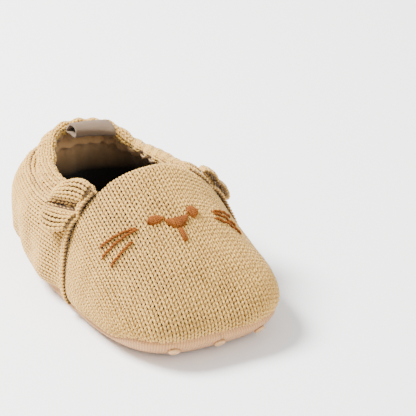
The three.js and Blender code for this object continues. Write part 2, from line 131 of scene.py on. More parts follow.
def smooth(t):
    s = np.clip(t, 0.0, 1.0)
    return s * s * (3 - 2 * s)


def ease(value, start, length):
    """0 up to the start, 1 once past the length, and smooth between."""
    return smooth((value - start) / length)


def hump(value, centre, reach):
    return np.exp(-((value - centre) / reach) ** 2)


def lerp(a, b, t):
    return a + (b - a) * t


def unit(v):
    return v / np.maximum(np.linalg.norm(v, axis=-1, keepdims=True), 1e-12)


def box_mm(node):
    low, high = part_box(node)
    return np.array(low) / MM, np.array(high) / MM


def hinge(body):
    """Place of a moving body's hinge in millimetres, and its axis."""
    joint = next(j for j in frame["joints"] if j["child"] == body)
    return np.array(joint["pos_m"]) / MM, np.array(joint["axis"], float)


(toe_y, vamp_end), (quarter_start, heel_y) = (
    [corner[1] for corner in box_mm(name)] for name in ("vamp_knit", "quarter_knit"))
HALF_LENGTH = (heel_y - toe_y) / 2
HALF_WIDTH = 37.0
SIDE_SEAM_Y = (vamp_end + quarter_start) / 2


# ---- body form

def crown(y):
    """Height the body's cross-section would reach on its middle line."""
    front = THROAT_CROWN + VAMP_SLOPE * (y - THROAT_Y)
    middle = lerp(THROAT_CROWN, COLLAR_CROWN, ease(y, THROAT_Y, COLLAR_Y - THROAT_Y))
    back = np.clip((y - COLLAR_Y) / (HALF_LENGTH - COLLAR_Y), 0, None)
    heel = lerp(COLLAR_CROWN, HEEL_CROWN, back ** 2)
    return np.where(y < THROAT_Y, front, np.where(y < COLLAR_Y, middle, heel))


def plan_share(x, y):
    """How far out a place of the plan lies, as a share of the body's outline."""
    reach = np.where(y < PLAN_CENTRE_Y, HALF_LENGTH + PLAN_CENTRE_Y, HALF_LENGTH - PLAN_CENTRE_Y)
    across = np.abs(x - SWEEP * y) / HALF_WIDTH
    along = np.abs(y - PLAN_CENTRE_Y) / reach
    return (across ** SQUARENESS + along ** SQUARENESS + 1e-12) ** (1 / SQUARENESS)


def tuck_share(z):
    """Share of the outline left where the body tucks in below its widest height."""
    drop = (BULGE_HEIGHT - FLAT_HEIGHT) / math.sqrt(1 - SOLE_TUCK ** 2)
    return np.sqrt(np.clip(1 - ((BULGE_HEIGHT - z) / drop) ** 2, LEAST_TUCK, 1))


def body_value(p):
    """Zero on the body's outer surface, positive outside it."""
    x, y, z = p[..., 0], p[..., 1], p[..., 2]
    share = plan_share(x, y)
    rise = np.clip((z - BULGE_HEIGHT) / (crown(y) - BULGE_HEIGHT), 0, None)
    upper = (share ** ROUNDNESS + rise ** ROUNDNESS) ** (1 / ROUNDNESS) - 1
    lower = share / tuck_share(z) - 1
    return np.where(z >= BULGE_HEIGHT, upper, lower)


def body_gradient(p):
    step = 0.05
    parts = [(body_value(p + step * axis) - body_value(p - step * axis)) / (2 * step)
             for axis in np.eye(3)]
    return np.stack(parts, -1)


def topline(y):
    """Height of the collar's edge."""
    (y0, z0), (y1, z1), (y2, z2), (y3, z3) = TOPLINE
    front = lerp(z0, z1, ease(y, y0, y1 - y0))
    back = lerp(z2, z3, ease(y, y2, y3 - y2))
    return np.where(y < y1, front, back)


def sole_seam(y):
    """Height of the seam between knit and sole: high round the toe, low along the sides."""
    drop = SOLE_SIDE_DROP * ease(y, SOLE_SIDE_Y, SOLE_SIDE_REACH)
    return SOLE_SEAM_HEIGHT - SOLE_SEAM_RISE * y - drop


def settle(points):
    """How throat, heel and far shoulder have slumped toward the wearer's right."""
    x, y, z = points[..., 0], points[..., 1], points[..., 2]
    near_throat = hump(y, centre=-10, reach=24)
    far_shoulder = hump(y, centre=-27, reach=20) * ease(x, start=0, length=24)
    moved = points.copy()
    moved[..., 0] -= THROAT_LEAN * ease(z, start=12, length=35) * near_throat
    moved[..., 0] -= HEEL_LEAN * ease(z, start=14, length=26) * ease(y, start=4, length=22)
    moved[..., 0] -= SHOULDER_DENT * ease(z, start=14, length=18) * far_shoulder
    return moved


def polar_point(angle, radius, z):
    """A place about the seams' upright axis. Angle 0 points right and a quarter turn to the heel."""
    x = SWEEP * SIDE_SEAM_Y - radius * np.cos(angle)
    y = SIDE_SEAM_Y + radius * np.sin(angle)
    return np.stack([x, y, z], -1)


def farthest(angle, z, inside, low, high):
    """Distance from the seams' upright axis, by plan angle, where places stop being inside."""
    low, high = np.full_like(z, low), np.full_like(z, high)
    for _ in range(40):
        middle = (low + high) / 2
        within = inside(polar_point(angle, middle, z))
        low = np.where(within, middle, low)
        high = np.where(within, high, middle)
    return (low + high) / 2


# ---- grids of cloth

def travel_along(points):
    """Distance travelled along a line to each of its points."""
    return np.concatenate([[0], np.cumsum(np.linalg.norm(np.diff(points, axis=0), axis=1))])


def resample(points, count):
    """The same line with its points evenly spaced."""
    along = travel_along(points)
    wanted = np.linspace(0, along[-1], count)
    return np.stack([np.interp(wanted, along, points[:, k]) for k in range(3)], 1)


def grid_normals(points, outward):
    normals = unit(np.cross(np.gradient(points, axis=0), np.gradient(points, axis=1)))
    flip = np.sign(np.sum(normals * outward, axis=-1, keepdims=True))
    return normals * np.where(flip == 0, 1, flip)


def waves(points, size, seed):
    """Smooth random field between about -1 and 1 over a grid of points."""
    source = np.random.default_rng(seed)
    total = np.zeros(points.shape[:-1])
    for _ in range(WAVE_COUNT):
        direction = unit(source.normal(size=3))
        scale = 2 * math.pi / (size * source.uniform(*WAVE_SPREAD))
        total += np.sin(points @ direction * scale + source.uniform(0, 2 * math.pi))
    return total / WAVE_PEAK


class Cloth:
    """A knitted surface. Rows of the grid are courses and columns are quarter wales."""

    def __init__(self, points, normals, valid):
        self.points = points
        self.normals = normals
        self.valid = valid
        tall = np.linalg.norm(np.gradient(points, axis=0), axis=-1)
        wide = np.linalg.norm(np.gradient(points, axis=1), axis=-1) * 4
        self.scale = np.clip(np.sqrt(tall * wide / (WALE * COURSE)), *THICKNESS_RANGE)

    def read(self, values, row, column):
        """Value between the grid's points, by row and column."""
        rows, columns = values.shape[:2]
        r = np.clip(row, 0, rows - 1.001)
        c = np.clip(column, 0, columns - 1.001)
        i, j = r.astype(int), c.astype(int)
        fr, fc = r - i, c - j
        if values.ndim == 3:
            fr, fc = fr[..., None], fc[..., None]
        top = lerp(values[i, j], values[i, j + 1], fc)
        bottom = lerp(values[i + 1, j], values[i + 1, j + 1], fc)
        return lerp(top, bottom, fr)

    def at(self, row, column):
        return self.read(self.points, row, column), unit(self.read(self.normals, row, column))


def trimmed(points, outward, seam, sole):
    """The cloth within its seams, drawn inward near them, by the distance from each."""
    for distance in (seam, sole):
        pull = SEAM_DIP * hump(np.clip(distance, 0, None), 0, SEAM_DIP_REACH)
        points = points - outward * pull[..., None]
    return Cloth(points, outward, (seam > -SEAM_OVERLAP) & (sole > SEAM_OVERLAP))


ROLL_LIMIT = 3.6


def roll_over(edge, direction, normal, distances, radius):
    """Points and normals at distances beyond an edge that curls inward."""
    places, normals = [], []
    for distance in distances:
        turn = distance / radius
        held = np.minimum(turn, ROLL_LIMIT)
        curl = normal * np.cos(held) + direction * np.sin(held)
        places.append(edge - radius * normal + radius * curl)
        normals.append(normal * np.cos(turn) + direction * np.sin(turn))
    return places, normals


VAMP_TILT = (15.6, 64.0)
VAMP_TILT_CURVE = 1.2
VAMP_HALF_COLUMNS = 100
VAMP_LOWEST = 4
VAMP_BUMPS = 0.35
THROAT_MARGIN = 1.0
THROAT_ROLL = 2.3
THROAT_ROLL_ROWS = 4


def vamp_centre_line():
    """The body's middle line from the throat to below the toe, one point for each course."""
    angles = np.linspace(0.02, math.pi / 2, 400)
    front = HALF_LENGTH + PLAN_CENTRE_Y
    y = PLAN_CENTRE_Y - np.sin(angles) ** (2 / ROUNDNESS) * front
    z = BULGE_HEIGHT + (crown(y) - BULGE_HEIGHT) * np.cos(angles) ** (2 / ROUNDNESS)
    below = np.linspace(BULGE_HEIGHT, VAMP_LOWEST, 30)[1:]
    y = np.concatenate([y, PLAN_CENTRE_Y - front * tuck_share(below)])
    z = np.concatenate([z, below])
    line = np.stack([SWEEP * y, y, z], 1)[y <= THROAT_Y - THROAT_MARGIN]
    return resample(line, int(travel_along(line)[-1] / COURSE) + 1)


def vamp_cloth():
    """Courses across the front, each in its own tilted plane, with the throat's edge rolled in."""
    centre = vamp_centre_line()
    rows = len(centre)
    tilt = np.radians(lerp(*VAMP_TILT, np.linspace(0, 1, rows) ** VAMP_TILT_CURVE))
    plane = np.stack([0 * tilt, -np.cos(tilt), -np.sin(tilt)], 1)
    columns = {0: centre}
    for side in (-1, 1):
        p = centre.copy()
        for step in range(1, VAMP_HALF_COLUMNS + 1):
            ahead = -side * unit(np.cross(plane, body_gradient(p)))
            p = p + ahead * WALE / 4
            for _ in range(3):
                gradient = body_gradient(p)
                gradient = gradient - np.sum(gradient * plane, 1, keepdims=True) * plane
                size = np.maximum(np.sum(gradient ** 2, 1), 1e-6)
                p = p - gradient * (body_value(p) / size)[:, None]
                p = p - np.sum((p - centre) * plane, 1, keepdims=True) * plane
            columns[side * step] = p.copy()
    order = range(-VAMP_HALF_COLUMNS, VAMP_HALF_COLUMNS + 1)
    points = np.stack([columns[k] for k in order], 1)
    normals = unit(body_gradient(points))
    distances = [k * COURSE for k in range(THROAT_ROLL_ROWS, 0, -1)]
    rolled, rolled_normals = roll_over(points[0], unit(points[0] - points[1]), normals[0],
                                       distances, THROAT_ROLL)
    points = np.concatenate([np.stack(rolled), points])
    outward = np.concatenate([np.stack(rolled_normals), normals])
    seam = SIDE_SEAM_Y - points[..., 1]
    sole = points[..., 2] - sole_seam(points[..., 1])
    bumps = VAMP_BUMPS * waves(points, size=26, seed=3)
    points = settle(points + outward * bumps[..., None])
    return trimmed(points, outward, seam, sole)


QUARTER_WALES = 16
QUARTER_COLUMNS = QUARTER_WALES * 4 + 1
QUARTER_ROLL_COLUMNS = 12
QUARTER_ROLL = 2.35
QUARTER_FULLNESS = 3.1
QUARTER_BUMPS = 0.5
COURSE_COUNT_HEIGHT = 28.0
GATHER_LENGTH = 7.0
GATHER_DEPTH = 0.45
GATHER_WANDER = 3.0
COLLAR_BAND = 0.8
COLLAR_GROOVE = 1.5
GROOVE_WANDER = 0.03
GROOVE_REACH = 0.04
FOLD_DEPTH = 0.9
FOLD_TOP = 0.75
FOLD_FADE = 0.3
RIM_HALF_WIDTH = 21.5
RIM_BACK_Y = 52.5
RIM_SQUARENESS = 3
RIM_ROUNDNESS = 0.45


def radius_for_share(angle, share):
    """Distance from the seams' upright axis to where the plan outline has shrunk to a share."""
    def inside(place):
        return plan_share(place[..., 0], place[..., 1]) < share
    return farthest(angle, 0 * share, inside, 8.0, 110.0)


def in_rim(place):
    """Whether places of the plan lie within the collar's outer edge."""
    y = np.clip(place[..., 1] / RIM_BACK_Y, 0, 2)
    half = RIM_HALF_WIDTH * np.clip(1 - y ** RIM_SQUARENESS, 0, 1) ** RIM_ROUNDNESS
    return np.abs(place[..., 0] - SWEEP * place[..., 1]) < half


def quarter_profile(angle):
    """Lines up the surface from the sole seam to the collar's edge, one for each plan angle."""
    rim = polar_point(angle, farthest(angle, 0 * angle, in_rim, 5.0, 80.0), 0 * angle)
    rim[:, 2] = topline(rim[:, 1])
    rim_share = plan_share(rim[:, 0], rim[:, 1])
    full = lerp(ROUNDNESS, QUARTER_FULLNESS, ease(rim[:, 1], start=-8, length=22))
    fitted = (1 - rim_share ** full) ** (1 / full)
    top = (rim[:, 2] - BULGE_HEIGHT) / fitted
    top = lerp(crown(rim[:, 1]) - BULGE_HEIGHT, top, ease(rim[:, 1], start=-8, length=12))
    rim[:, 2] = BULGE_HEIGHT + top * fitted
    full = full[:, None]
    foot = polar_point(angle, radius_for_share(angle, 0 * angle + SEAM_OUTLINE), 0 * angle)
    low = sole_seam(foot[:, 1])
    share = np.sin(np.linspace(0, math.pi / 2, 90))
    z = low[:, None] + (rim[:, 2] - low)[:, None] * share[None, :]
    rise = np.clip((z - BULGE_HEIGHT) / top[:, None], 0, 1)
    level_share = (1 - rise ** full) ** (1 / full)
    level_share = np.where(z < BULGE_HEIGHT, tuck_share(z), level_share)
    wide = np.repeat(angle[:, None], z.shape[1], 1)
    return polar_point(wide, radius_for_share(wide, level_share), z)


def quarter_cloth():
    """Courses up the back part, side by side round the heel, with the collar's edge rolled in."""
    fine = np.linspace(0, math.pi, 721)
    level = np.full_like(fine, COURSE_COUNT_HEIGHT)
    reach = farthest(fine, level, lambda place: body_value(place) < 0, 0.0, 110.0)
    along = travel_along(polar_point(fine, reach, level))
    travel = np.linspace(0, along[-1], int(along[-1] / COURSE) + 1)
    lines = quarter_profile(np.interp(travel, along, fine))
    points = np.stack([resample(line, QUARTER_COLUMNS) for line in lines])
    normals = grid_normals(points, unit(body_gradient(points)))
    last = points[:, -1] - points[:, -2]
    pitch = np.linalg.norm(last, axis=1)[:, None]
    distances = [k * pitch for k in range(1, QUARTER_ROLL_COLUMNS + 1)]
    rolled, rolled_normals = roll_over(points[:, -1], unit(last), normals[:, -1],
                                       distances, QUARTER_ROLL)
    points = np.concatenate([points, np.stack(rolled, 1)], 1)
    outward = np.concatenate([normals, np.stack(rolled_normals, 1)], 1)
    share = np.clip(np.arange(points.shape[1]) / (QUARTER_COLUMNS - 1), 0, 1)[None, :]
    phase = (travel / GATHER_LENGTH * 2 * math.pi)[:, None]
    phase = phase + GATHER_WANDER * waves(points, size=30, seed=11)
    gathers = GATHER_DEPTH * ease(share, start=0.5, length=0.5) * np.sin(phase)
    bumps = QUARTER_BUMPS * waves(points, size=30, seed=5)
    groove_at = COLLAR_BAND + GROOVE_WANDER * waves(points, size=35, seed=8)
    groove = -COLLAR_GROOVE * hump(share, groove_at, GROOVE_REACH)
    groove = groove * (1 + 0.5 * waves(points, size=22, seed=9))
    folds = FOLD_DEPTH * smooth((FOLD_TOP - share) / FOLD_FADE)
    folds = folds * waves(points * [1, 1, 0.35], size=15, seed=31)
    points = settle(points + outward * (gathers + bumps + groove + folds)[..., None])
    seam = points[..., 1] - SIDE_SEAM_Y
    sole = points[..., 2] - sole_seam(points[..., 1])
    return trimmed(points, outward, seam, sole)


# ---- meshes

def build_mesh(name, verts, faces, corner_uvs=None, shade=None):
    mesh = bpy.data.meshes.new(name)
    mesh.from_pydata((np.asarray(verts) * MM).tolist(), [], faces)
    if corner_uvs is not None:
        layer = mesh.uv_layers.new(name="UVMap")
        layer.data.foreach_set("uv", np.asarray(corner_uvs, np.float32).ravel())
    if shade is not None:
        attribute = mesh.attributes.new("shade", "FLOAT", "POINT")
        attribute.data.foreach_set("value", np.asarray(shade, np.float32))
    mesh.shade_smooth()
    mesh.update()
    made = bpy.data.objects.new(name, mesh)
    bpy.context.scene.collection.objects.link(made)
    return made


class Tubes:
    """Collects round strands into one mesh. Each strand is capped at both ends."""

    def __init__(self, sides=5):
        self.sides = sides
        self.verts, self.faces, self.uvs, self.shades = [], [], [], []
        self.count = 0

    def add(self, path, up, radius, shade):
        n, sides = len(path), self.sides
        radius = np.broadcast_to(radius, (n,))
        tangent = unit(np.gradient(path, axis=0))
        aside = unit(np.cross(tangent, np.broadcast_to(up, (n, 3))))
        above = np.cross(aside, tangent)
        turn = np.arange(sides) / sides * 2 * math.pi
        ring = (np.cos(turn)[None, :, None] * aside[:, None, :]
                + np.sin(turn)[None, :, None] * above[:, None, :])
        points = path[:, None, :] + ring * radius[:, None, None]
        ends = np.array([path[0], path[-1]])
        self.verts.append(np.concatenate([points.reshape(-1, 3), ends]))
        i, j = np.meshgrid(np.arange(n - 1), np.arange(sides), indexing="ij")
        i, j = i.ravel(), j.ravel()
        k = (j + 1) % sides
        base = self.count
        quads = np.stack([i * sides + j, (i + 1) * sides + j, (i + 1) * sides + k, i * sides + k], 1)
        self.faces.extend((quads + base).tolist())
        length = travel_along(path)
        low, high = j / sides, (j + 1) / sides
        uv = np.stack([length[i], low, length[i + 1], low, length[i + 1], high, length[i], high], 1)
        self.uvs.append(uv.reshape(-1, 2))
        first, last = base + n * sides, base + n * sides + 1
        tail = base + (n - 1) * sides
        for a in range(sides):
            b = (a + 1) % sides
            self.faces.append([first, base + a, base + b])
            self.faces.append([last, tail + b, tail + a])
        self.uvs.append(np.zeros((6 * sides, 2)))
        shade = np.broadcast_to(shade, (n,))
        self.shades.append(np.concatenate([np.repeat(shade, sides), shade[[0, -1]]]))
        self.count += n * sides + 2

    def build(self, name):
        return build_mesh(name, np.concatenate(self.verts), self.faces,
                          np.concatenate(self.uvs), np.concatenate(self.shades))


def runs_of(flags):
    """Start and end of each stretch of true values."""
    padded = np.concatenate([[False], flags, [False]])
    edges = np.flatnonzero(padded[1:] != padded[:-1])
    return list(zip(edges[::2], edges[1::2] - 1))


def knit_courses(cloth, margin=0, radius=YARN_RADIUS):
    """A strand of loops along each course of a cloth, but for a margin of rows at each end."""
    strands = Tubes()
    for row in range(margin, len(cloth.points) - margin):
        for start, end in runs_of(cloth.valid[row]):
            if end - start < 3:
                continue
            t = np.linspace(start, end, int((end - start) * POINTS_PER_STITCH / 4) + 1) / 4
            stitch = (t - start / 4).astype(int)
            loose = 1 + LOOP_UNEVENNESS * rng.standard_normal(stitch[-1] + 1)[stitch]
            turn = 2 * math.pi * t
            column = np.clip(4 * (t + LOOP_LEAN * loose * np.sin(2 * turn)), start, end)
            reach = row + LOOP_REACH * loose * np.cos(turn)
            place, normal = cloth.at(reach, column)
            thick = cloth.read(cloth.scale, reach, column)
            front = -np.cos(2 * turn)
            lift = YARN_LEVEL + LOOP_DEPTH * thick * front
            # painted shade: each loop is drawn darker where it dips back toward the ground and lighter
            # where it lies in front
            shade = 0.5 + 0.5 * front
            strands.add(place + normal * lift[:, None], normal, radius * thick, shade)
    return strands


def shell(name, points, normals, levels, valid=None, pitch=(WALE / 4, COURSE)):
    """A cloth of even thickness between two levels, closed round its edge."""
    rows, columns = points.shape[:2]
    if valid is None:
        valid = np.ones((rows, columns), bool)
    bottom, top = ((points + normals * level).reshape(-1, 3) for level in levels)
    ids = np.arange(rows * columns).reshape(rows, columns)
    r, c = np.nonzero(valid[:-1, :-1] & valid[1:, :-1] & valid[:-1, 1:] & valid[1:, 1:])
    quads = np.stack([ids[r, c], ids[r, c + 1], ids[r + 1, c + 1], ids[r + 1, c]], 1)
    corner = top[quads[:, 0]]
    facing = np.cross(top[quads[:, 1]] - corner, top[quads[:, 3]] - corner)
    if np.sum(facing * normals.reshape(-1, 3)[quads[:, 0]], 1).mean() < 0:
        quads = quads[:, ::-1]
    under = rows * columns
    edges = dict.fromkeys((a, b) for quad in quads.tolist() for a, b in zip(quad, quad[1:] + quad[:1]))
    rim = [[b, a, a + under, b + under] for a, b in edges if (b, a) not in edges]
    faces = np.concatenate([quads, quads[:, ::-1] + under, np.array(rim)])
    used = np.unique(faces)
    renumber = np.full(2 * under, -1)
    renumber[used] = np.arange(len(used))
    faces = renumber[faces]
    u, v = np.meshgrid(np.arange(columns) * pitch[0], np.arange(rows) * pitch[1])
    uv = np.stack([u.ravel(), v.ravel()], 1)
    uv = np.concatenate([uv, uv])[used]
    verts = np.concatenate([top, bottom])[used]
    return build_mesh(name, verts, faces.tolist(), uv[faces].reshape(-1, 2))


# ---- materials

class Shader:
    """A material's nodes. Inputs are numbers, colours or other nodes' outputs."""

    def __init__(self, name, roughness, sheen=0.0):
        self.material = bpy.data.materials.new(name)
        self.material.use_nodes = True
        self.tree = self.material.node_tree
        self.surface = self.tree.nodes["Principled BSDF"]
        self.feed(self.surface, {"Roughness": roughness, "Specular IOR Level": 0.25})
        if sheen:
            self.feed(self.surface, {"Sheen Weight": sheen, "Sheen Roughness": 0.5})

    def feed(self, node, inputs):
        for name, value in inputs.items():
            if isinstance(value, (int, float, tuple)):
                node.inputs[name].default_value = value
            elif value is not None:
                self.tree.links.new(value, node.inputs[name])
        return node

    def place(self, kind="Object"):
        return self.tree.nodes.new("ShaderNodeTexCoord").outputs[kind]

    def split(self, vector):
        return self.feed(self.tree.nodes.new("ShaderNodeSeparateXYZ"), {"Vector": vector}).outputs

    def math(self, operation, a, b=None):
        node = self.tree.nodes.new("ShaderNodeMath")
        node.operation = operation
        return self.feed(node, {0: a, 1: b}).outputs[0]

    def total(self, *terms):
        """Sum of outputs, each times a weight."""
        made = None
        for output, weight in terms:
            part = self.math("MULTIPLY", output, weight)
            made = part if made is None else self.math("ADD", made, part)
        return made

    def noise(self, scale, detail):
        node = self.tree.nodes.new("ShaderNodeTexNoise")
        inputs = {"Scale": scale, "Detail": detail, "Vector": self.place()}
        return self.feed(node, inputs).outputs["Fac"]

    def ramp(self, source, *stops):
        node = self.tree.nodes.new("ShaderNodeValToRGB")
        elements = node.color_ramp.elements
        for element, (place, colour) in zip(elements, (stops[0], stops[-1])):
            element.position, element.color = place, linear(colour)
        for place, colour in stops[1:-1]:
            elements.new(place).color = linear(colour)
        return self.feed(node, {"Fac": source}).outputs["Color"]

    def mix(self, factor, a, b):
        node = self.tree.nodes.new("ShaderNodeMix")
        node.data_type = "RGBA"
        return self.feed(node, {"Factor": factor, "A": a, "B": b}).outputs["Result"]

    def bump(self, height, distance, strength, before=None):
        node = self.tree.nodes.new("ShaderNodeBump")
        inputs = {"Height": height, "Distance": distance, "Strength": strength, "Normal": before}
        return self.feed(node, inputs).outputs["Normal"]

    def finish(self, colour, normal):
        self.feed(self.surface, {"Base Color": colour, "Normal": normal})
        return self.material


def linear(colour):
    """Linear values of a colour given as 0 to 255 display values."""
    shares = [value / 255 for value in colour]
    return (*(c / 12.92 if c <= 0.04045 else ((c + 0.055) / 1.055) ** 2.4 for c in shares), 1.0)


def strand_material(name, low, middle, high, twists, plies, roughness=0.88, sheen=0.25):
    """Plied yarn or thread: twisted stripes along the strand that bump it and lay painted shade in the
    grooves between plies, fuzz flecks lightened as a painted highlight, and painted shade where the
    strand lies low.
    """
    shader = Shader(name, roughness, sheen)
    uv = shader.split(shader.place("UV"))
    turns = shader.total((uv["X"], twists), (uv["Y"], plies))
    stripe = shader.math("SINE", shader.math("MULTIPLY", turns, 2 * math.pi))
    fuzz = shader.noise(scale=2600, detail=4)
    patch = shader.noise(scale=160, detail=2)
    shade = shader.tree.nodes.new("ShaderNodeAttribute")
    shade.attribute_name = "shade"
    # painted shade: the shade attribute darkens the strand where it lies low, and the stripes darken
    # the grooves between plies; patches vary the tone at random
    level = shader.total((shade.outputs["Fac"], 0.8), (stripe, 0.07), (patch, 0.25))
    colour = shader.ramp(level, (0.34, low), (0.68, middle), (1.0, high))
    # painted highlight: fuzz flecks are mixed toward the lightest colour
    colour = shader.mix(shader.math("MULTIPLY", fuzz, 0.12), colour, linear(high))
    rough = shader.bump(fuzz, distance=0.00012, strength=0.5)
    return shader.finish(colour, shader.bump(stripe, 0.00018, 0.6, rough))


def woven_material(name, light, dark, scale, roughness=0.9, deep=None, painted_shade_heights=None):
    """Plain woven cloth: crossed threads, and, if asked, painted shade that darkens it low down, deep
    inside the shoe.
    """
    shader = Shader(name, roughness, sheen=0.15)
    threads = []
    for direction in ("X", "Z"):
        wave = shader.tree.nodes.new("ShaderNodeTexWave")
        wave.bands_direction = direction
        shader.feed(wave, {"Scale": scale, "Distortion": 0.6, "Detail": 1.0, "Vector": shader.place()})
        threads.append(wave.outputs["Fac"])
    weave = shader.math("MAXIMUM", *threads)
    level = shader.math("MULTIPLY", weave, shader.noise(scale=120, detail=4))
    colour = shader.ramp(level, (0.15, dark), (0.75, light))
    # painted shade: below the given heights the colour is mixed toward the deep colour
    if deep is not None:
        reach = shader.tree.nodes.new("ShaderNodeMapRange")
        height = shader.split(shader.place())["Z"]
        shader.feed(reach, {"From Min": painted_shade_heights[0], "From Max": painted_shade_heights[1], "Value": height})
        colour = shader.mix(reach.outputs["Result"], linear(deep), colour)
    return shader.finish(colour, shader.bump(weave, distance=0.00015, strength=0.5))


def ribbed_material(name, light, dark, ribs_per_mm, roughness=0.85, sheen=0.15, slant=0.0):
    """Cloth with fine ribs across its first texture direction."""
    shader = Shader(name, roughness, sheen)
    uv = shader.split(shader.place("UV"))
    along = shader.total((uv["X"], 1.0), (uv["Y"], slant))
    rib = shader.math("SINE", shader.math("MULTIPLY", along, ribs_per_mm * 2 * math.pi))
    grain = shader.noise(scale=900, detail=4)
    level = shader.total((rib, 0.3), (shader.noise(scale=60, detail=3), 1.0))
    colour = shader.ramp(level, (0.2, dark), (0.85, light))
    colour = shader.mix(shader.math("MULTIPLY", grain, 0.15), colour, linear(light))
    fine = shader.bump(grain, distance=0.0001, strength=0.4)
    return shader.finish(colour, shader.bump(rib, 0.0002, 0.5, fine))


def silicone_material():
    shader = Shader("silicone", 0.42)
    scatter = {"Subsurface Weight": 0.15, "Subsurface Radius": (0.002, 0.001, 0.0006)}
    shader.feed(shader.surface, scatter)
    cloud = shader.noise(scale=300, detail=4)
    colour = shader.ramp(cloud, (0.3, (198, 152, 102)), (0.7, (210, 168, 118)))
    return shader.finish(colour, shader.bump(cloud, distance=0.0001, strength=0.2))


# yarn colours run from painted shade on its lowest parts (low) to its lit, lightest parts (high)
yarn = strand_material("yarn", low=(64, 38, 8), middle=(170, 125, 50), high=(230, 184, 92),
                       twists=0.9, plies=2)
# painted shade: the ground sheet under the stitches is dark brown to stand for the shade in the gaps
# between them
painted_shade_ground = woven_material("knit_ground_painted_shade", light=(84, 52, 20), dark=(56, 33, 12), scale=700,
                        roughness=0.95)
# thread colours run likewise from painted shade (low) to its lit parts (high)
thread = strand_material("thread", low=(40, 16, 0), middle=(108, 52, 0), high=(150, 82, 0),
                         twists=1.6, plies=2, roughness=0.75, sheen=0.0)
# painted shade: the lining is drawn darker low down inside the shoe, fully dark below 22 mm
lining = woven_material("lining", light=(232, 188, 132), dark=(184, 142, 94), scale=900,
                        deep=(20, 13, 8), painted_shade_heights=(0.022, 0.035))
insole = woven_material("insole", light=(36, 25, 17), dark=(20, 13, 9), scale=900)
ribbon = ribbed_material("ribbon", light=(126, 102, 78), dark=(88, 69, 50), ribs_per_mm=2.6,
                         roughness=0.7, sheen=0.1, slant=0.6)
sole = ribbed_material("sole_fabric", light=(200, 150, 96), dark=(168, 120, 74), ribs_per_mm=1.1)
silicone = silicone_material()
elastic = ribbed_material("elastic", light=(232, 226, 214), dark=(196, 188, 172), ribs_per_mm=1.2)
foam = woven_material("foam", light=(236, 230, 214), dark=(214, 206, 188), scale=500)


def dress(obj, material, stands_for=(), body="shoe"):
    """Gives a piece its material, the body it rides on, and the CAD nodes it replaces."""
    obj.data.materials.clear()
    obj.data.materials.append(material)
    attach(obj, body)
    if stands_for:
        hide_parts(*stands_for)
    return obj


# ---- upper

LINING_LEVELS = (-3.8, -3.2)
LINING_FOOT = 4.8
PLEAT_LENGTH = 6.5
PLEAT_DEPTH = 1.9
PLEAT_WANDER = 1.6
ELASTIC_LEVELS = (-2.8, -2.4)
ELASTIC_BAND = slice(QUARTER_COLUMNS - 10, QUARTER_COLUMNS - 2)
BRAID_POINTS = 160
BRAID_PITCH = 4.4
BRAID_RADIUS = 0.56


def make_knit(name, cloth, strands, levels, stands_for, body="shoe"):
    """A cloth's stitches, and the ground under them."""
    loops = dress(strands.build(f"{name}_stitches"), yarn, body=body)
    back = shell(f"{name}_ground", cloth.points, cloth.normals, levels, cloth.valid)
    # painted shade: the ground's dark colour stands for the shade in the gaps between stitches
    return dress(back, painted_shade_ground, stands_for, body), loops


def make_braid(name, line, outward, across):
    """Three strands plaited along a seam."""
    strands = Tubes(6)
    line = resample(line, BRAID_POINTS)
    outward = unit(outward)
    length = np.linspace(0, travel_along(line)[-1], BRAID_POINTS)
    for k in range(3):
        phase = length / BRAID_PITCH * 2 * math.pi + k * 2 * math.pi / 3
        aside = 1.1 * np.sin(phase) - 0.3
        lift = -0.75 + 0.4 * np.sin(2 * phase)
        path = line + across * aside[:, None] + outward * lift[:, None]
        # painted shade: each strand is drawn darker where it dips under the others
        strands.add(path, outward, BRAID_RADIUS, 0.5 + 0.5 * np.sin(2 * phase))
    dress(strands.build(name), yarn)


def make_upper():
    vamp, quarter = vamp_cloth(), quarter_cloth()
    for name, cloth in (("vamp", vamp), ("quarter", quarter)):
        strands = knit_courses(cloth, margin=1)
        back, loops = make_knit(name, cloth, strands, GROUND_LEVELS, [f"{name}_knit"])
    make_linings(vamp, quarter)
    for side, row in (("right", 1), ("left", -2)):
        normal = quarter.normals[row, 2:QUARTER_COLUMNS]
        line = quarter.points[row, 2:QUARTER_COLUMNS] + normal * 1.5
        line[:, 1] = SIDE_SEAM_Y
        make_braid(f"{side}_seam_braid", line, normal.mean(0) * [1, 0, 1], np.array([0, 1, 0]))
    return vamp


def make_linings(vamp, quarter):
    front, front_normals = vamp.points[THROAT_ROLL_ROWS:], vamp.normals[THROAT_ROLL_ROWS:]
    covered = (front[..., 1] < SIDE_SEAM_Y + SEAM_OVERLAP) & (front[..., 2] > LINING_FOOT)
    toe = shell("vamp_lining_cloth", front, front_normals, LINING_LEVELS, covered)
    dress(toe, lining, ["vamp_lining"])
    points, normals, valid = (grid[:, :QUARTER_COLUMNS]
                              for grid in (quarter.points, quarter.normals, quarter.valid))
    share = np.linspace(0, 1, QUARTER_COLUMNS)[None, :]
    travel = np.arange(len(points))[:, None] * COURSE / PLEAT_LENGTH * math.pi
    fold = np.abs(np.sin(travel + PLEAT_WANDER * waves(points, size=40, seed=21))) ** 0.7
    depth = PLEAT_DEPTH * ease(share, start=0.35, length=0.4)
    depth = depth * (1 - 0.8 * ease(share, start=0.96, length=0.04))
    inner = points - normals * (depth * fold)[..., None]
    heel = shell("quarter_lining_cloth", inner, normals, LINING_LEVELS, valid)
    dress(heel, lining, ["quarter_lining"])
    points, normals, valid = (grid[:, ELASTIC_BAND] for grid in (points, normals, valid))
    strip = shell("collar_elastic", points, normals, ELASTIC_LEVELS, valid)
    dress(strip, elastic, ["topline_elastic"])


# ---- ears

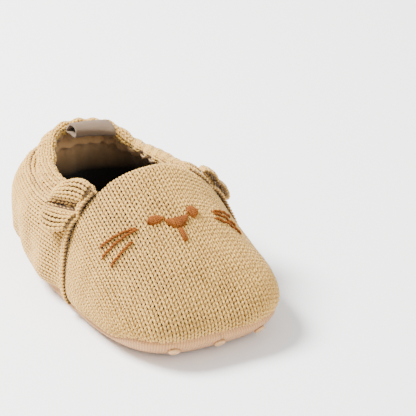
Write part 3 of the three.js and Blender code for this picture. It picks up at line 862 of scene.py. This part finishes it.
# Side as a sign, swing and lean in degrees, the rest in millimetres
EARS = {
    "right_ear": {"side": -1, "swing": 66, "lean": 21, "sink": 1.6, "raise": 1.4, "fold": 3.0,
                  "cup": 2.0, "lobe": 1.4, "length": 15.6, "width": 23.4, "root": 20.4},
    "left_ear": {"side": 1, "swing": 80, "lean": 31, "sink": 3.3, "raise": -0.5, "fold": 0.5,
                 "cup": -1.0, "lobe": 0.3, "length": 17.0, "width": 21.0, "root": 18.0},
}
EAR_HALF_THICKNESS = 2.0
EAR_GROUND_LEVELS = (-1.9, -1.6)
EAR_YARN_RADIUS = 0.5
EAR_COLUMNS = 15 * 4 + 1
EAR_ROW_DENSITY = 1.3
EAR_TIP = 0.95
EAR_DROOP = -1.5
EAR_FOLD_REACH = 1.9
EAR_SIDE_WEIGHT = 0.35


def ear_axes(name):
    """Hinge place and the directions down the seam, out along the ear, and off its face."""
    ear = EARS[name]
    root, axis = hinge(name)
    down = unit(axis)
    down = down * (-1 if down[2] > 0 else 1)
    turn = math.radians(ear["swing"])
    reach = np.array([ear["side"] * math.cos(turn), math.sin(turn), 0])
    reach = unit(reach - down * (reach @ down))
    face = np.cross(down, reach)
    face = face * np.sign(face @ np.array([ear["side"], 0, 0.5]))
    along = reach + down * math.tan(math.radians(ear["lean"]))
    return root, down, along, face


def ear_cloth(name):
    """Both layers of an ear: each row runs round it, and the rows lie one beyond the other."""
    ear = EARS[name]
    root, down, along, face = ear_axes(name)
    length, half_width = ear["length"], ear["width"] / 2
    half_length = (length / 2) / (0.5 + 0.5 * math.sqrt(1 - (ear["root"] / ear["width"]) ** 2))
    centre = length - half_length
    angle = np.linspace(math.asin(-centre / half_length), math.pi / 2 * EAR_TIP, 200)
    steps = np.abs(np.diff(half_length * np.sin(angle)))
    steps = steps + EAR_SIDE_WEIGHT * np.abs(np.diff(half_width * np.cos(angle)))
    travel = np.concatenate([[0], np.cumsum(steps)])
    rows = int(length / COURSE * EAR_ROW_DENSITY)
    angle = np.interp(np.linspace(0, travel[-1], rows), travel, angle)[:, None]
    around = np.linspace(math.pi, 3 * math.pi, 721)[None, :]
    v = centre + half_length * np.sin(angle)
    u = half_width * np.cos(angle) * np.sin(around)
    thick = EAR_HALF_THICKNESS * np.cos(angle) ** 0.5 * np.sign(np.cos(around))
    thick = thick * np.abs(np.cos(around)) ** 0.5
    cup = ear["cup"] * (u / half_width) ** 2
    cup = cup + ear["lobe"] * np.sin(math.pi * np.abs(u) / half_width)
    fold = -ear["fold"] * hump(u, 0, EAR_FOLD_REACH) * (1 - ease(v / length, start=0.6, length=0.35))
    middle = cup + fold + EAR_DROOP * (v / length) ** 2
    place = root - face * ear["sink"] - down * ear["raise"]
    flat = place + down * u[..., None] + along * v[..., None] + middle[..., None] * face
    fine = flat + thick[..., None] * face
    core = flat - down * (u * 0.12)[..., None]
    points = np.stack([resample(line, EAR_COLUMNS) for line in fine])
    inside = np.stack([resample(line, EAR_COLUMNS) for line in core])
    normals = grid_normals(points, unit(points - inside + 1e-9))
    return Cloth(points, normals, np.ones(points.shape[:2], bool))


def make_ears():
    for name in EARS:
        cloth = ear_cloth(name)
        strands = knit_courses(cloth, radius=EAR_YARN_RADIUS)
        back, loops = make_knit(name, cloth, strands, EAR_GROUND_LEVELS,
                                [f"{name}_front", f"{name}_back"], body=name)


# ---- heel tab

TAB_SETTLE = 1.3
TAB_TUCK = 1.0
TAB_HALF_THICKNESS = 0.45
TAB_ROWS = 60
TAB_COLUMNS = 24
TAB_SKEW = 0.12
TAB_TILT = 0.10
TAB_SAG = 0.5
TAB_ROOT_DROP = 1.8
TAB_ROOT_REACH = 5


def make_heel_tab():
    """A ribbon bent into a loop: the rows run from the lower end round the bend to the upper."""
    low, high = box_mm("heel_tab")
    root = hinge("heel_tab")[0]
    width, length, height = high - low
    t = (np.linspace(0.02, 0.98, TAB_ROWS) * 2 * math.pi)[:, None]
    ahead = -length * (0.5 - 0.5 * np.cos(t)) ** 0.8
    opening = (height / 2 - TAB_HALF_THICKNESS) * (0.55 + 0.45 * np.clip(-ahead / length, 0, 1))
    rise = opening * np.sin(t) * 1.25
    side = np.linspace(-1, 1, TAB_COLUMNS)[None, :]
    drop = TAB_SAG * side ** 2 + TAB_SETTLE + TAB_ROOT_DROP * smooth(1 + ahead / TAB_ROOT_REACH)
    points = np.stack([
        root[0] + side * width / 2 + 0 * ahead,
        root[1] + TAB_TUCK + ahead * (1 + TAB_SKEW * side),
        root[2] + rise * (1 - TAB_SKEW * side) + ahead * TAB_TILT * side - drop,
    ], -1)
    outward = points - np.array([0, root[1] + TAB_TUCK - length / 2, root[2] - TAB_SETTLE])
    outward[..., 0] = 0
    made = shell("heel_tab_ribbon", points, grid_normals(points, unit(outward)),
                 (-TAB_HALF_THICKNESS, TAB_HALF_THICKNESS),
                 pitch=(width / (TAB_COLUMNS - 1), 2.2 * length / (TAB_ROWS - 1)))
    dress(made, ribbon, ["heel_tab"], body="heel_tab")


# ---- sole

# Lip as lift and inset, base as share of the outline and height, insole as share and drop
SOLE_LIP = ((2.2, 2.3), (1.0, 1.5), (0.3, 0.7))
SOLE_WALL_ROWS = 15
SOLE_BASE = ((0.845, 1.3), (0.82, 1.12), (0.7, 1.1), (0.5, 1.1), (0.25, 1.1), (0.002, 1.1))
INSOLE_RINGS = ((1.02, 1.3), (1.015, 0.4), (1.0, 0), (0.95, 0), (0.8, 0), (0.6, 0), (0.4, 0),
                (0.2, 0), (0.002, 0))
INSOLE_TOP = 0.15
DOT_SIDES = 32
DOT_HEIGHT = 1.15
DOT_SINK = {"toe": 0.7, "sole": 0.75}
DOT_PROFILE = ((1.0, 0.0), (1.0, 0.55), (0.93, 0.82), (0.75, 0.95), (0.4, 1.0))


def outline_points(share, z, angle):
    """Points round the body at a share of its plan outline."""
    dx, dy = np.sin(angle), -np.cos(angle)
    axis_x = SWEEP * (PLAN_CENTRE_Y + dy)
    reach = share / plan_share(dx + axis_x, PLAN_CENTRE_Y + dy)
    y = PLAN_CENTRE_Y + dy * reach
    return np.stack([dx * reach + SWEEP * y, y, z + 0 * y], -1)


def make_sole(angle):
    rows = []
    seam_z = sole_seam(outline_points(SEAM_OUTLINE, 0, angle)[:, 1]) - SEAM_OVERLAP
    for lift, inset in SOLE_LIP:
        edge = outline_points(tuck_share(seam_z + lift), seam_z + lift, angle)
        away = unit((edge - [0, PLAN_CENTRE_Y, 0]) * [1.6, 1, 0])
        rows.append(edge - away * inset)
    for k in range(SOLE_WALL_ROWS):
        z = lerp(seam_z, FLAT_HEIGHT + 0.6, (k / (SOLE_WALL_ROWS - 1)) ** 0.85)
        share = tuck_share(z) * (1 - 0.008 * math.exp(-k / 1.2))
        rows.append(outline_points(share, z, angle))
    for share, z in SOLE_BASE:
        rows.append(outline_points(share, z, angle))
    points = np.stack(rows)
    normals = grid_normals(points, unit(points - np.array([0, 0, 12.0])))
    normals[:, 0] = normals[:, -1] = unit(normals[:, 0] + normals[:, -1])
    made = shell("sole_cloth", points, normals, (-1.0, 0.0), pitch=(330 / 180, 1.0))
    dress(made, sole, ["outsole_fabric"])


def make_insole(angle):
    low, high = box_mm("insole_cover")
    full = outline_points(1.0, high[2] - INSOLE_TOP, angle)
    middle = (full.max(0) + full.min(0)) / 2
    fit = np.array([*((high - low) / np.ptp(full, 0).clip(1e-6))[:2], 1.0])
    plate = np.stack([middle + (full - middle) * fit * [share, share, 1] - [0, 0, drop]
                      for share, drop in INSOLE_RINGS])
    top = np.broadcast_to(np.array([0, 0, 1.0]), plate.shape)
    cover = shell("insole_cloth", plate, top, (low[2] - high[2] + INSOLE_TOP, 0.1), pitch=(1.8, 5))
    dress(cover, insole, ["insole_cover"])
    pad = frame["nodes"]["insole_foam"]
    pad.data.materials.clear()
    pad.data.materials.append(foam)


def make_dome(name, foot, normal, radius):
    """A round dot with a softened edge that stands on a foot."""
    aside = unit(np.cross(normal, [0.3, 1, 0.2]))
    other = np.cross(normal, aside)
    turn = np.linspace(0, 2 * math.pi, DOT_SIDES + 1)[:-1, None]
    circle = np.cos(turn) * aside + np.sin(turn) * other
    verts = [foot + normal * DOT_HEIGHT]
    for share, height in DOT_PROFILE:
        verts.extend(foot + circle * radius * share + normal * DOT_HEIGHT * height)
    verts.append(foot)
    last = 1 + (len(DOT_PROFILE) - 1) * DOT_SIDES
    sides = [(i, (i + 1) % DOT_SIDES) for i in range(DOT_SIDES)]
    faces = [[a + i, a + j, a + DOT_SIDES + j, a + DOT_SIDES + i]
             for a in range(1, last, DOT_SIDES) for i, j in sides]
    for i, j in sides:
        faces.extend([[0, last + i, last + j], [len(verts) - 1, 1 + j, 1 + i]])
    return build_mesh(name, verts, faces)


def make_dots():
    for node in [n for n in frame["nodes"] if n.startswith("grip_dot")]:
        low, high = box_mm(node)
        centre = (low + high) / 2
        low, high = box_mm("grip_dot_1_big" if "big" in node else "grip_dot_1_small_1")
        radius = (high[0] - low[0]) / 2
        where = "toe" if "toe" in node else "sole"
        normal = unit(body_gradient(centre)) if where == "toe" else np.array([0, 0, -1.0])
        made = make_dome(f"{node}_dome", centre - normal * DOT_SINK[where], normal, radius)
        dress(made, silicone, [node])


# ---- embroidery

THREAD_JITTER = 0.12
THREAD_START = -0.9
WHISKER_STITCH = 4.2
WHISKER_TWIST = 2.6
EYE_THREADS = 13
EYES = {
    "right": {"wide": 2.8, "deep": 1.75, "slant": -0.25, "shift": 0.0},
    "left": {"wide": 2.0, "deep": 2.2, "slant": 0.1, "shift": -1.0},
}
LOOSE_THREAD = ((2.2, -0.2), (4.3, -0.9))
NOSE_THREADS = 19
WHISKER_SHIFT = {
    "right": [((1.0, 1.2), (0.3, 1.8)), ((1.3, 0.6), (-0.4, 3.4)), ((-2.2, 0.3), (1.2, 1.4))],
    "left": [((0.0, 2.4), (-2.0, 5.2)), ((0.3, 1.8), (-2.6, 4.2)), ((-0.6, 1.6), (-2.0, 3.2))],
}


def on_vamp(cloth, start, end, t):
    """Points on the knit's outer surface along a line of the plan, with their normals."""
    points = cloth.points[THROAT_ROLL_ROWS:].reshape(-1, 3)
    normals = cloth.normals[THROAT_ROLL_ROWS:].reshape(-1, 3)
    upward = normals[:, 2] > 0.15
    points, normals = points[upward], normals[upward]
    places, directions = [], []
    for x, y in zip(lerp(start[0], end[0], t), lerp(start[1], end[1], t)):
        k = np.argmin((points[:, 0] - x) ** 2 + (points[:, 1] - y) ** 2)
        n = normals[k]
        z = points[k, 2] - (n[0] * (x - points[k, 0]) + n[1] * (y - points[k, 1])) / n[2]
        places.append([x, y, z])
        directions.append(n)
    return np.array(places), np.array(directions)


def satin(cloth, name, rows, height=0.45, radius=0.27):
    """Close threads that come up out of the knit, lie over it and go back in."""
    strands = Tubes(6)
    t = np.linspace(0, 1, 9)
    arch = np.clip(np.sin(math.pi * t), 0, 1) ** 0.4
    lift = THREAD_START + (height - THREAD_START) * arch
    for start, end in rows:
        jitter = rng.uniform(-THREAD_JITTER, THREAD_JITTER, 4)
        place, normal = on_vamp(cloth, start + jitter[:2], end + jitter[2:], t)
        strands.add(place + normal * lift[:, None], normal, radius, 0.75 + 0.25 * rng.random())
    dress(strands.build(f"{name}_stitches"), thread, [name])


def whisker(cloth, name, start, end):
    """A line of back stitches in two twisted strands."""
    strands = Tubes(6)
    length = math.dist(start, end) * 1.25
    t = np.linspace(0, 1, 60)
    place, normal = on_vamp(cloth, start, end, t)
    kernel = np.ones(7) / 7
    smoothed = np.stack([np.convolve(np.pad(line, 3, "edge"), kernel, "valid") for line in place.T], 1)
    aside = unit(np.cross(normal, smoothed[-1] - smoothed[0]))
    stitches = max(2, round(length / WHISKER_STITCH))
    dips = 0.45 * np.abs(np.cos(math.pi * stitches * t)) ** 6 + 1.2 * np.abs(2 * t - 1) ** 24
    for k in range(2):
        twist = t * length / WHISKER_TWIST * 2 * math.pi + k * math.pi
        path = smoothed + aside * (0.3 * np.cos(twist))[:, None]
        lift = 0.25 + 0.24 * np.sin(twist) - dips
        # painted shade: each strand is drawn darker where it twists down under the other
        strands.add(path + normal * lift[:, None], normal, 0.33, 0.7 + 0.3 * np.sin(twist))
    dress(strands.build(f"{name}_thread"), thread, [name])


def make_eye(cloth, side):
    eye = EYES[side]
    low, high = box_mm(f"{side}_eye")
    centre = ((low + high) / 2)[:2] + [eye["shift"], 0]
    rows = []
    for k in np.linspace(-1, 1, EYE_THREADS):
        half = eye["deep"] * math.sqrt(max(1 - k * k, 0.08))
        x, y = centre + [k * eye["wide"], k * eye["slant"]]
        rows.append(((x, y - half), (x + 0.25, y + half)))
    if side == "right":
        rows.append([centre + place for place in LOOSE_THREAD])
    satin(cloth, f"{side}_eye", rows)


def make_whiskers(cloth, side):
    for i, (first, last) in enumerate(WHISKER_SHIFT[side]):
        name = f"{side}_whisker_{i + 1}"
        low, high = box_mm(name)
        inner, outer = (high[0], low[0]) if side == "right" else (low[0], high[0])
        near, far = high[1] - 0.5, low[1] + 0.5
        if i == 0:
            near, far = far, near
        whisker(cloth, name, np.add((inner, near), first), np.add((outer, far), last))


def make_face(cloth):
    for side in ("right", "left"):
        make_eye(cloth, side)
        make_whiskers(cloth, side)
    low, high = box_mm("nose")
    rows = []
    for k in np.linspace(-1, 1, NOSE_THREADS):
        x = (low[0] + high[0]) / 2 + k * (high[0] - low[0]) / 2
        deep = (high[1] - low[1]) * (1 - 0.62 * abs(k) ** 2.2)
        rows.append(((x, high[1]), (x * 0.94, high[1] - deep)))
    satin(cloth, "nose", rows)
    low, high = box_mm("nose_stem")
    rows = [((x, high[1] + 0.4), (x * 0.7 + 0.2, low[1])) for x in np.linspace(low[0], high[0], 4)]
    satin(cloth, "nose_stem", rows, height=0.35, radius=0.3)


round_the_sole = np.linspace(0, 2 * math.pi, 181)
vamp = make_upper()
make_ears()
make_heel_tab()
make_sole(round_the_sole)
make_insole(round_the_sole)
make_dots()
make_face(vamp)


# ---- stage and light

FLOOR_COLOUR = (0.95, 0.95, 0.94, 1)
LIGHT_TARGET = (0, 0, 0.02)
LIGHTS = {
    "key": {"place": (-0.45, 0.45, 0.85), "size": 0.45, "power": 50},
    "fill": {"place": (0.1, -0.9, 0.6), "size": 0.9, "power": 7},
}
SKY_STRENGTH = 1.05


def make_stage():
    bpy.ops.mesh.primitive_plane_add(size=6, location=(0, 0, 0))
    floor = bpy.context.object
    floor.name = "floor"
    floor.data.materials.append(Shader("floor", 0.7).finish(FLOOR_COLOUR, None))


def area_light(name, place, size, power):
    data = bpy.data.lights.new(name, "AREA")
    data.shape = "DISK"
    data.size = size
    data.energy = power
    made = bpy.data.objects.new(name, data)
    made.location = place
    aim = Vector(LIGHT_TARGET) - Vector(place)
    made.rotation_euler = aim.to_track_quat("-Z", "Y").to_euler()
    bpy.context.scene.collection.objects.link(made)


make_stage()
for light, settings in LIGHTS.items():
    area_light(light, **settings)
world = bpy.data.worlds.new("world")
world.use_nodes = True
sky = world.node_tree.nodes["Background"]
sky.inputs["Color"].default_value = (1, 1, 1, 1)
sky.inputs["Strength"].default_value = SKY_STRENGTH
bpy.context.scene.world = world
